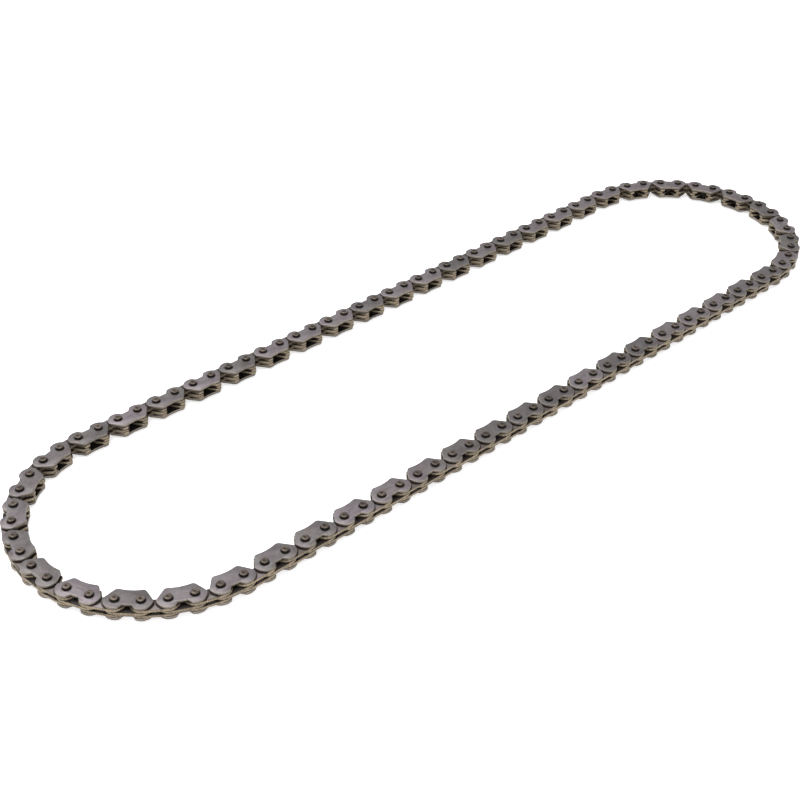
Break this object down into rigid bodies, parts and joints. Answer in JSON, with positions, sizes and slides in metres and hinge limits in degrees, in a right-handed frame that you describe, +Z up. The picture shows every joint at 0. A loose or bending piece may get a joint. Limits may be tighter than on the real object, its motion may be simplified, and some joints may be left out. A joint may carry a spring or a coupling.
{
  "type": "silent timing chain",
  "caption": "Endless inverted-tooth timing chain: toothed and guide plates on riveted pins, lying flat as a long narrow loop that flexes at its pins",
  "frame": {"origin": "on the plane that the pin ends stand on, below the middle of the loop", "axes": "+X along the two straight strands, +Y across the loop, +Z up along the pins"},
  "size_m": [0.2936, 0.0802, 0.0057],
  "materials": {
    "chain_steel": "heat-treated spring steel, tumbled, lightly oiled"
  },
  "bodies": {
    "right_end_inner_link_01": {"right_end_inner_link_01": "chain_steel"},
    "right_end_outer_link_02": {"right_end_outer_link_02": "chain_steel"},
    "right_end_inner_link_03": {"right_end_inner_link_03": "chain_steel"},
    "right_end_outer_link_04": {"right_end_outer_link_04": "chain_steel"},
    "right_end_inner_link_05": {"right_end_inner_link_05": "chain_steel"},
    "right_end_outer_link_06": {"right_end_outer_link_06": "chain_steel"},
    "right_end_inner_link_07": {"right_end_inner_link_07": "chain_steel"},
    "right_end_outer_link_08": {"right_end_outer_link_08": "chain_steel"},
    "right_end_inner_link_09": {"right_end_inner_link_09": "chain_steel"},
    "right_end_outer_link_10": {"right_end_outer_link_10": "chain_steel"},
    "right_end_inner_link_11": {"right_end_inner_link_11": "chain_steel"},
    "right_end_outer_link_12": {"right_end_outer_link_12": "chain_steel"},
    "right_end_inner_link_13": {"right_end_inner_link_13": "chain_steel"},
    "right_end_outer_link_14": {"right_end_outer_link_14": "chain_steel"},
    "right_end_inner_link_15": {"right_end_inner_link_15": "chain_steel"},
    "right_end_outer_link_16": {"right_end_outer_link_16": "chain_steel"},
    "right_end_inner_link_17": {"right_end_inner_link_17": "chain_steel"},
    "right_end_outer_link_18": {"right_end_outer_link_18": "chain_steel"},
    "far_strand_links_01": {"far_strand_links_01": "chain_steel"},
    "far_strand_links_02": {"far_strand_links_02": "chain_steel"},
    "far_strand_links_03": {"far_strand_links_03": "chain_steel"},
    "far_strand_links_04": {"far_strand_links_04": "chain_steel"},
    "far_strand_links_05": {"far_strand_links_05": "chain_steel"},
    "far_strand_links_06": {"far_strand_links_06": "chain_steel"},
    "far_strand_links_07": {"far_strand_links_07": "chain_steel"},
    "far_strand_links_08": {"far_strand_links_08": "chain_steel"},
    "far_strand_links_09": {"far_strand_links_09": "chain_steel"},
    "far_strand_links_10": {"far_strand_links_10": "chain_steel"},
    "far_strand_links_11": {"far_strand_links_11": "chain_steel"},
    "far_strand_links_12": {"far_strand_links_12": "chain_steel"},
    "left_end_inner_link_01": {"left_end_inner_link_01": "chain_steel"},
    "left_end_outer_link_02": {"left_end_outer_link_02": "chain_steel"},
    "left_end_inner_link_03": {"left_end_inner_link_03": "chain_steel"},
    "left_end_outer_link_04": {"left_end_outer_link_04": "chain_steel"},
    "left_end_inner_link_05": {"left_end_inner_link_05": "chain_steel"},
    "left_end_outer_link_06": {"left_end_outer_link_06": "chain_steel"},
    "left_end_inner_link_07": {"left_end_inner_link_07": "chain_steel"},
    "left_end_outer_link_08": {"left_end_outer_link_08": "chain_steel"},
    "left_end_inner_link_09": {"left_end_inner_link_09": "chain_steel"},
    "left_end_outer_link_10": {"left_end_outer_link_10": "chain_steel"},
    "left_end_inner_link_11": {"left_end_inner_link_11": "chain_steel"},
    "left_end_outer_link_12": {"left_end_outer_link_12": "chain_steel"},
    "left_end_inner_link_13": {"left_end_inner_link_13": "chain_steel"},
    "left_end_outer_link_14": {"left_end_outer_link_14": "chain_steel"},
    "left_end_inner_link_15": {"left_end_inner_link_15": "chain_steel"},
    "left_end_outer_link_16": {"left_end_outer_link_16": "chain_steel"},
    "left_end_inner_link_17": {"left_end_inner_link_17": "chain_steel"},
    "left_end_outer_link_18": {"left_end_outer_link_18": "chain_steel"},
    "near_strand_links_01": {"near_strand_links_01": "chain_steel"},
    "near_strand_links_02": {"near_strand_links_02": "chain_steel"},
    "near_strand_links_03": {"near_strand_links_03": "chain_steel"},
    "near_strand_links_04": {"near_strand_links_04": "chain_steel"},
    "near_strand_links_05": {"near_strand_links_05": "chain_steel"},
    "near_strand_links_06": {"near_strand_links_06": "chain_steel"},
    "near_strand_links_07": {"near_strand_links_07": "chain_steel"},
    "near_strand_links_08": {"near_strand_links_08": "chain_steel"},
    "near_strand_links_09": {"near_strand_links_09": "chain_steel"},
    "near_strand_links_10": {"near_strand_links_10": "chain_steel"},
    "near_strand_links_11": {"near_strand_links_11": "chain_steel"},
    "near_strand_links_12": {"near_strand_links_12": "chain_steel"}
  },
  "joints": [
    {"name": "hinge_at_pin_052", "type": "hinge", "parent": "left_end_outer_link_10", "child": "left_end_inner_link_09", "pos_m": [-0.14393, 0, 0.00283], "axis": [0, 0, -1], "range_deg": [-6.19, 1.86]},
    {"name": "hinge_at_pin_051", "type": "hinge", "parent": "left_end_inner_link_09", "child": "left_end_outer_link_08", "pos_m": [-0.14339, 0.00633, 0.00283], "axis": [0, 0, -1], "range_deg": [-6.19, 1.86]},
    {"name": "hinge_at_pin_050", "type": "hinge", "parent": "left_end_outer_link_08", "child": "left_end_inner_link_07", "pos_m": [-0.14178, 0.01247, 0.00283], "axis": [0, 0, -1], "range_deg": [-6.19, 1.86]},
    {"name": "hinge_at_pin_049", "type": "hinge", "parent": "left_end_inner_link_07", "child": "left_end_outer_link_06", "pos_m": [-0.13915, 0.01825, 0.00283], "axis": [0, 0, -1], "range_deg": [-6.19, 1.86]},
    {"name": "hinge_at_pin_048", "type": "hinge", "parent": "left_end_outer_link_06", "child": "left_end_inner_link_05", "pos_m": [-0.13557, 0.0235, 0.00283], "axis": [0, 0, -1], "range_deg": [-6.19, 1.86]},
    {"name": "hinge_at_pin_047", "type": "hinge", "parent": "left_end_inner_link_05", "child": "left_end_outer_link_04", "pos_m": [-0.13116, 0.02806, 0.00283], "axis": [0, 0, -1], "range_deg": [-6.19, 1.86]},
    {"name": "hinge_at_pin_046", "type": "hinge", "parent": "left_end_outer_link_04", "child": "left_end_inner_link_03", "pos_m": [-0.12603, 0.03181, 0.00283], "axis": [0, 0, -1], "range_deg": [-6.19, 1.86]},
    {"name": "hinge_at_pin_045", "type": "hinge", "parent": "left_end_inner_link_03", "child": "left_end_outer_link_02", "pos_m": [-0.12034, 0.03463, 0.00283], "axis": [0, 0, -1], "range_deg": [-6.19, 1.86]},
    {"name": "hinge_at_pin_044", "type": "hinge", "parent": "left_end_outer_link_02", "child": "left_end_inner_link_01", "pos_m": [-0.11426, 0.03644, 0.00283], "axis": [0, 0, -1], "range_deg": [-6.19, 1.86]},
    {"name": "hinge_at_pin_043", "type": "hinge", "parent": "left_end_inner_link_01", "child": "far_strand_links_12", "pos_m": [-0.10795, 0.03719, 0.00283], "axis": [0, 0, -1], "range_deg": [-3.19, 0.96]},
    {"name": "hinge_at_pin_040", "type": "hinge", "parent": "far_strand_links_12", "child": "far_strand_links_11", "pos_m": [-0.0889, 0.03719, 0.00283], "axis": [0, 0, -1], "range_deg": [-3.24, 10.8]},
    {"name": "hinge_at_pin_037", "type": "hinge", "parent": "far_strand_links_11", "child": "far_strand_links_10", "pos_m": [-0.06985, 0.03719, 0.00283], "axis": [0, 0, -1], "range_deg": [-3.24, 10.8]},
    {"name": "hinge_at_pin_034", "type": "hinge", "parent": "far_strand_links_10", "child": "far_strand_links_09", "pos_m": [-0.0508, 0.03719, 0.00283], "axis": [0, 0, -1], "range_deg": [-3.24, 10.8]},
    {"name": "hinge_at_pin_031", "type": "hinge", "parent": "far_strand_links_09", "child": "far_strand_links_08", "pos_m": [-0.03175, 0.03719, 0.00283], "axis": [0, 0, -1], "range_deg": [-3.24, 10.8]},
    {"name": "hinge_at_pin_028", "type": "hinge", "parent": "far_strand_links_08", "child": "far_strand_links_07", "pos_m": [-0.0127, 0.03719, 0.00283], "axis": [0, 0, -1], "range_deg": [-2.7, 9]},
    {"name": "hinge_at_pin_026", "type": "hinge", "parent": "far_strand_links_07", "child": "far_strand_links_06", "pos_m": [0, 0.03719, 0.00283], "axis": [0, 0, -1], "range_deg": [-2.16, 7.2]},
    {"name": "hinge_at_pin_024", "type": "hinge", "parent": "far_strand_links_06", "child": "far_strand_links_05", "pos_m": [0.0127, 0.03719, 0.00283], "axis": [0, 0, -1], "range_deg": [-2.7, 9]},
    {"name": "hinge_at_pin_021", "type": "hinge", "parent": "far_strand_links_05", "child": "far_strand_links_04", "pos_m": [0.03175, 0.03719, 0.00283], "axis": [0, 0, -1], "range_deg": [-3.24, 10.8]},
    {"name": "hinge_at_pin_018", "type": "hinge", "parent": "far_strand_links_04", "child": "far_strand_links_03", "pos_m": [0.0508, 0.03719, 0.00283], "axis": [0, 0, -1], "range_deg": [-3.24, 10.8]},
    {"name": "hinge_at_pin_015", "type": "hinge", "parent": "far_strand_links_03", "child": "far_strand_links_02", "pos_m": [0.06985, 0.03719, 0.00283], "axis": [0, 0, -1], "range_deg": [-3.24, 10.8]},
    {"name": "hinge_at_pin_012", "type": "hinge", "parent": "far_strand_links_02", "child": "far_strand_links_01", "pos_m": [0.0889, 0.03719, 0.00283], "axis": [0, 0, -1], "range_deg": [-3.24, 10.8]},
    {"name": "hinge_at_pin_009", "type": "hinge", "parent": "far_strand_links_01", "child": "right_end_outer_link_18", "pos_m": [0.10795, 0.03719, 0.00283], "axis": [0, 0, -1], "range_deg": [-3.19, 0.96]},
    {"name": "hinge_at_pin_008", "type": "hinge", "parent": "right_end_outer_link_18", "child": "right_end_inner_link_17", "pos_m": [0.11426, 0.03644, 0.00283], "axis": [0, 0, -1], "range_deg": [-6.19, 1.86]},
    {"name": "hinge_at_pin_007", "type": "hinge", "parent": "right_end_inner_link_17", "child": "right_end_outer_link_16", "pos_m": [0.12034, 0.03463, 0.00283], "axis": [0, 0, -1], "range_deg": [-6.19, 1.86]},
    {"name": "hinge_at_pin_006", "type": "hinge", "parent": "right_end_outer_link_16", "child": "right_end_inner_link_15", "pos_m": [0.12603, 0.03181, 0.00283], "axis": [0, 0, -1], "range_deg": [-6.19, 1.86]},
    {"name": "hinge_at_pin_005", "type": "hinge", "parent": "right_end_inner_link_15", "child": "right_end_outer_link_14", "pos_m": [0.13116, 0.02806, 0.00283], "axis": [0, 0, -1], "range_deg": [-6.19, 1.86]},
    {"name": "hinge_at_pin_004", "type": "hinge", "parent": "right_end_outer_link_14", "child": "right_end_inner_link_13", "pos_m": [0.13557, 0.0235, 0.00283], "axis": [0, 0, -1], "range_deg": [-6.19, 1.86]},
    {"name": "hinge_at_pin_003", "type": "hinge", "parent": "right_end_inner_link_13", "child": "right_end_outer_link_12", "pos_m": [0.13915, 0.01825, 0.00283], "axis": [0, 0, -1], "range_deg": [-6.19, 1.86]},
    {"name": "hinge_at_pin_002", "type": "hinge", "parent": "right_end_outer_link_12", "child": "right_end_inner_link_11", "pos_m": [0.14178, 0.01247, 0.00283], "axis": [0, 0, -1], "range_deg": [-6.19, 1.86]},
    {"name": "hinge_at_pin_001", "type": "hinge", "parent": "right_end_inner_link_11", "child": "right_end_outer_link_10", "pos_m": [0.14339, 0.00633, 0.00283], "axis": [0, 0, -1], "range_deg": [-6.19, 1.86]},
    {"name": "hinge_at_pin_053", "type": "hinge", "parent": "left_end_outer_link_10", "child": "left_end_inner_link_11", "pos_m": [-0.14339, -0.00633, 0.00283], "axis": [0, 0, 1], "range_deg": [-6.19, 1.86]},
    {"name": "hinge_at_pin_054", "type": "hinge", "parent": "left_end_inner_link_11", "child": "left_end_outer_link_12", "pos_m": [-0.14178, -0.01247, 0.00283], "axis": [0, 0, 1], "range_deg": [-6.19, 1.86]},
    {"name": "hinge_at_pin_055", "type": "hinge", "parent": "left_end_outer_link_12", "child": "left_end_inner_link_13", "pos_m": [-0.13915, -0.01825, 0.00283], "axis": [0, 0, 1], "range_deg": [-6.19, 1.86]},
    {"name": "hinge_at_pin_056", "type": "hinge", "parent": "left_end_inner_link_13", "child": "left_end_outer_link_14", "pos_m": [-0.13557, -0.0235, 0.00283], "axis": [0, 0, 1], "range_deg": [-6.19, 1.86]},
    {"name": "hinge_at_pin_057", "type": "hinge", "parent": "left_end_outer_link_14", "child": "left_end_inner_link_15", "pos_m": [-0.13116, -0.02806, 0.00283], "axis": [0, 0, 1], "range_deg": [-6.19, 1.86]},
    {"name": "hinge_at_pin_058", "type": "hinge", "parent": "left_end_inner_link_15", "child": "left_end_outer_link_16", "pos_m": [-0.12603, -0.03181, 0.00283], "axis": [0, 0, 1], "range_deg": [-6.19, 1.86]},
    {"name": "hinge_at_pin_059", "type": "hinge", "parent": "left_end_outer_link_16", "child": "left_end_inner_link_17", "pos_m": [-0.12034, -0.03463, 0.00283], "axis": [0, 0, 1], "range_deg": [-6.19, 1.86]},
    {"name": "hinge_at_pin_060", "type": "hinge", "parent": "left_end_inner_link_17", "child": "left_end_outer_link_18", "pos_m": [-0.11426, -0.03644, 0.00283], "axis": [0, 0, 1], "range_deg": [-6.19, 1.86]},
    {"name": "hinge_at_pin_061", "type": "hinge", "parent": "left_end_outer_link_18", "child": "near_strand_links_01", "pos_m": [-0.10795, -0.03719, 0.00283], "axis": [0, 0, 1], "range_deg": [-3.19, 0.96]},
    {"name": "hinge_at_pin_064", "type": "hinge", "parent": "near_strand_links_01", "child": "near_strand_links_02", "pos_m": [-0.0889, -0.03719, 0.00283], "axis": [0, 0, 1], "range_deg": [-3.24, 10.8]},
    {"name": "hinge_at_pin_067", "type": "hinge", "parent": "near_strand_links_02", "child": "near_strand_links_03", "pos_m": [-0.06985, -0.03719, 0.00283], "axis": [0, 0, 1], "range_deg": [-3.24, 10.8]},
    {"name": "hinge_at_pin_070", "type": "hinge", "parent": "near_strand_links_03", "child": "near_strand_links_04", "pos_m": [-0.0508, -0.03719, 0.00283], "axis": [0, 0, 1], "range_deg": [-3.24, 10.8]},
    {"name": "hinge_at_pin_073", "type": "hinge", "parent": "near_strand_links_04", "child": "near_strand_links_05", "pos_m": [-0.03175, -0.03719, 0.00283], "axis": [0, 0, 1], "range_deg": [-3.24, 10.8]},
    {"name": "hinge_at_pin_076", "type": "hinge", "parent": "near_strand_links_05", "child": "near_strand_links_06", "pos_m": [-0.0127, -0.03719, 0.00283], "axis": [0, 0, 1], "range_deg": [-2.7, 9]},
    {"name": "hinge_at_pin_078", "type": "hinge", "parent": "near_strand_links_06", "child": "near_strand_links_07", "pos_m": [0, -0.03719, 0.00283], "axis": [0, 0, 1], "range_deg": [-2.16, 7.2]},
    {"name": "hinge_at_pin_080", "type": "hinge", "parent": "near_strand_links_07", "child": "near_strand_links_08", "pos_m": [0.0127, -0.03719, 0.00283], "axis": [0, 0, 1], "range_deg": [-2.7, 9]},
    {"name": "hinge_at_pin_083", "type": "hinge", "parent": "near_strand_links_08", "child": "near_strand_links_09", "pos_m": [0.03175, -0.03719, 0.00283], "axis": [0, 0, 1], "range_deg": [-3.24, 10.8]},
    {"name": "hinge_at_pin_086", "type": "hinge", "parent": "near_strand_links_09", "child": "near_strand_links_10", "pos_m": [0.0508, -0.03719, 0.00283], "axis": [0, 0, 1], "range_deg": [-3.24, 10.8]},
    {"name": "hinge_at_pin_089", "type": "hinge", "parent": "near_strand_links_10", "child": "near_strand_links_11", "pos_m": [0.06985, -0.03719, 0.00283], "axis": [0, 0, 1], "range_deg": [-3.24, 10.8]},
    {"name": "hinge_at_pin_092", "type": "hinge", "parent": "near_strand_links_11", "child": "near_strand_links_12", "pos_m": [0.0889, -0.03719, 0.00283], "axis": [0, 0, 1], "range_deg": [-3.24, 10.8]},
    {"name": "hinge_at_pin_095", "type": "hinge", "parent": "near_strand_links_12", "child": "right_end_inner_link_01", "pos_m": [0.10795, -0.03719, 0.00283], "axis": [0, 0, 1], "range_deg": [-3.19, 0.96]},
    {"name": "hinge_at_pin_096", "type": "hinge", "parent": "right_end_inner_link_01", "child": "right_end_outer_link_02", "pos_m": [0.11426, -0.03644, 0.00283], "axis": [0, 0, 1], "range_deg": [-6.19, 1.86]},
    {"name": "hinge_at_pin_097", "type": "hinge", "parent": "right_end_outer_link_02", "child": "right_end_inner_link_03", "pos_m": [0.12034, -0.03463, 0.00283], "axis": [0, 0, 1], "range_deg": [-6.19, 1.86]},
    {"name": "hinge_at_pin_098", "type": "hinge", "parent": "right_end_inner_link_03", "child": "right_end_outer_link_04", "pos_m": [0.12603, -0.03181, 0.00283], "axis": [0, 0, 1], "range_deg": [-6.19, 1.86]},
    {"name": "hinge_at_pin_099", "type": "hinge", "parent": "right_end_outer_link_04", "child": "right_end_inner_link_05", "pos_m": [0.13116, -0.02806, 0.00283], "axis": [0, 0, 1], "range_deg": [-6.19, 1.86]},
    {"name": "hinge_at_pin_100", "type": "hinge", "parent": "right_end_inner_link_05", "child": "right_end_outer_link_06", "pos_m": [0.13557, -0.0235, 0.00283], "axis": [0, 0, 1], "range_deg": [-6.19, 1.86]},
    {"name": "hinge_at_pin_101", "type": "hinge", "parent": "right_end_outer_link_06", "child": "right_end_inner_link_07", "pos_m": [0.13915, -0.01825, 0.00283], "axis": [0, 0, 1], "range_deg": [-6.19, 1.86]},
    {"name": "hinge_at_pin_102", "type": "hinge", "parent": "right_end_inner_link_07", "child": "right_end_outer_link_08", "pos_m": [0.14178, -0.01247, 0.00283], "axis": [0, 0, 1], "range_deg": [-6.19, 1.86]},
    {"name": "hinge_at_pin_103", "type": "hinge", "parent": "right_end_outer_link_08", "child": "right_end_inner_link_09", "pos_m": [0.14339, -0.00633, 0.00283], "axis": [0, 0, 1], "range_deg": [-6.19, 1.86]}
  ],
  "couplings": [
    {"joint": "hinge_at_pin_051", "follows": "hinge_at_pin_052", "ratio": 1},
    {"joint": "hinge_at_pin_050", "follows": "hinge_at_pin_052", "ratio": 1},
    {"joint": "hinge_at_pin_049", "follows": "hinge_at_pin_052", "ratio": 1},
    {"joint": "hinge_at_pin_048", "follows": "hinge_at_pin_052", "ratio": 1},
    {"joint": "hinge_at_pin_047", "follows": "hinge_at_pin_052", "ratio": 1},
    {"joint": "hinge_at_pin_046", "follows": "hinge_at_pin_052", "ratio": 1},
    {"joint": "hinge_at_pin_045", "follows": "hinge_at_pin_052", "ratio": 1},
    {"joint": "hinge_at_pin_044", "follows": "hinge_at_pin_052", "ratio": 1},
    {"joint": "hinge_at_pin_043", "follows": "hinge_at_pin_052", "ratio": 0.51454},
    {"joint": "hinge_at_pin_040", "follows": "hinge_at_pin_052", "ratio": -1.7447},
    {"joint": "hinge_at_pin_037", "follows": "hinge_at_pin_052", "ratio": -1.7447},
    {"joint": "hinge_at_pin_034", "follows": "hinge_at_pin_052", "ratio": -1.7447},
    {"joint": "hinge_at_pin_031", "follows": "hinge_at_pin_052", "ratio": -1.7447},
    {"joint": "hinge_at_pin_028", "follows": "hinge_at_pin_052", "ratio": -1.454},
    {"joint": "hinge_at_pin_026", "follows": "hinge_at_pin_052", "ratio": -1.1632},
    {"joint": "hinge_at_pin_024", "follows": "hinge_at_pin_052", "ratio": -1.454},
    {"joint": "hinge_at_pin_021", "follows": "hinge_at_pin_052", "ratio": -1.7447},
    {"joint": "hinge_at_pin_018", "follows": "hinge_at_pin_052", "ratio": -1.7447},
    {"joint": "hinge_at_pin_015", "follows": "hinge_at_pin_052", "ratio": -1.7447},
    {"joint": "hinge_at_pin_012", "follows": "hinge_at_pin_052", "ratio": -1.7447},
    {"joint": "hinge_at_pin_009", "follows": "hinge_at_pin_052", "ratio": 0.51454},
    {"joint": "hinge_at_pin_008", "follows": "hinge_at_pin_052", "ratio": 1},
    {"joint": "hinge_at_pin_007", "follows": "hinge_at_pin_052", "ratio": 1},
    {"joint": "hinge_at_pin_006", "follows": "hinge_at_pin_052", "ratio": 1},
    {"joint": "hinge_at_pin_005", "follows": "hinge_at_pin_052", "ratio": 1},
    {"joint": "hinge_at_pin_004", "follows": "hinge_at_pin_052", "ratio": 1},
    {"joint": "hinge_at_pin_003", "follows": "hinge_at_pin_052", "ratio": 1},
    {"joint": "hinge_at_pin_002", "follows": "hinge_at_pin_052", "ratio": 1},
    {"joint": "hinge_at_pin_001", "follows": "hinge_at_pin_052", "ratio": 1},
    {"joint": "hinge_at_pin_053", "follows": "hinge_at_pin_052", "ratio": 1},
    {"joint": "hinge_at_pin_054", "follows": "hinge_at_pin_052", "ratio": 1},
    {"joint": "hinge_at_pin_055", "follows": "hinge_at_pin_052", "ratio": 1},
    {"joint": "hinge_at_pin_056", "follows": "hinge_at_pin_052", "ratio": 1},
    {"joint": "hinge_at_pin_057", "follows": "hinge_at_pin_052", "ratio": 1},
    {"joint": "hinge_at_pin_058", "follows": "hinge_at_pin_052", "ratio": 1},
    {"joint": "hinge_at_pin_059", "follows": "hinge_at_pin_052", "ratio": 1},
    {"joint": "hinge_at_pin_060", "follows": "hinge_at_pin_052", "ratio": 1},
    {"joint": "hinge_at_pin_061", "follows": "hinge_at_pin_052", "ratio": 0.51454},
    {"joint": "hinge_at_pin_064", "follows": "hinge_at_pin_052", "ratio": -1.7447},
    {"joint": "hinge_at_pin_067", "follows": "hinge_at_pin_052", "ratio": -1.7447},
    {"joint": "hinge_at_pin_070", "follows": "hinge_at_pin_052", "ratio": -1.7447},
    {"joint": "hinge_at_pin_073", "follows": "hinge_at_pin_052", "ratio": -1.7447},
    {"joint": "hinge_at_pin_076", "follows": "hinge_at_pin_052", "ratio": -1.454},
    {"joint": "hinge_at_pin_078", "follows": "hinge_at_pin_052", "ratio": -1.1632},
    {"joint": "hinge_at_pin_080", "follows": "hinge_at_pin_052", "ratio": -1.454},
    {"joint": "hinge_at_pin_083", "follows": "hinge_at_pin_052", "ratio": -1.7447},
    {"joint": "hinge_at_pin_086", "follows": "hinge_at_pin_052", "ratio": -1.7447},
    {"joint": "hinge_at_pin_089", "follows": "hinge_at_pin_052", "ratio": -1.7447},
    {"joint": "hinge_at_pin_092", "follows": "hinge_at_pin_052", "ratio": -1.7447},
    {"joint": "hinge_at_pin_095", "follows": "hinge_at_pin_052", "ratio": 0.51454},
    {"joint": "hinge_at_pin_096", "follows": "hinge_at_pin_052", "ratio": 1},
    {"joint": "hinge_at_pin_097", "follows": "hinge_at_pin_052", "ratio": 1},
    {"joint": "hinge_at_pin_098", "follows": "hinge_at_pin_052", "ratio": 1},
    {"joint": "hinge_at_pin_099", "follows": "hinge_at_pin_052", "ratio": 1},
    {"joint": "hinge_at_pin_100", "follows": "hinge_at_pin_052", "ratio": 1},
    {"joint": "hinge_at_pin_101", "follows": "hinge_at_pin_052", "ratio": 1},
    {"joint": "hinge_at_pin_102", "follows": "hinge_at_pin_052", "ratio": 1},
    {"joint": "hinge_at_pin_103", "follows": "hinge_at_pin_052", "ratio": 1}
  ]
}
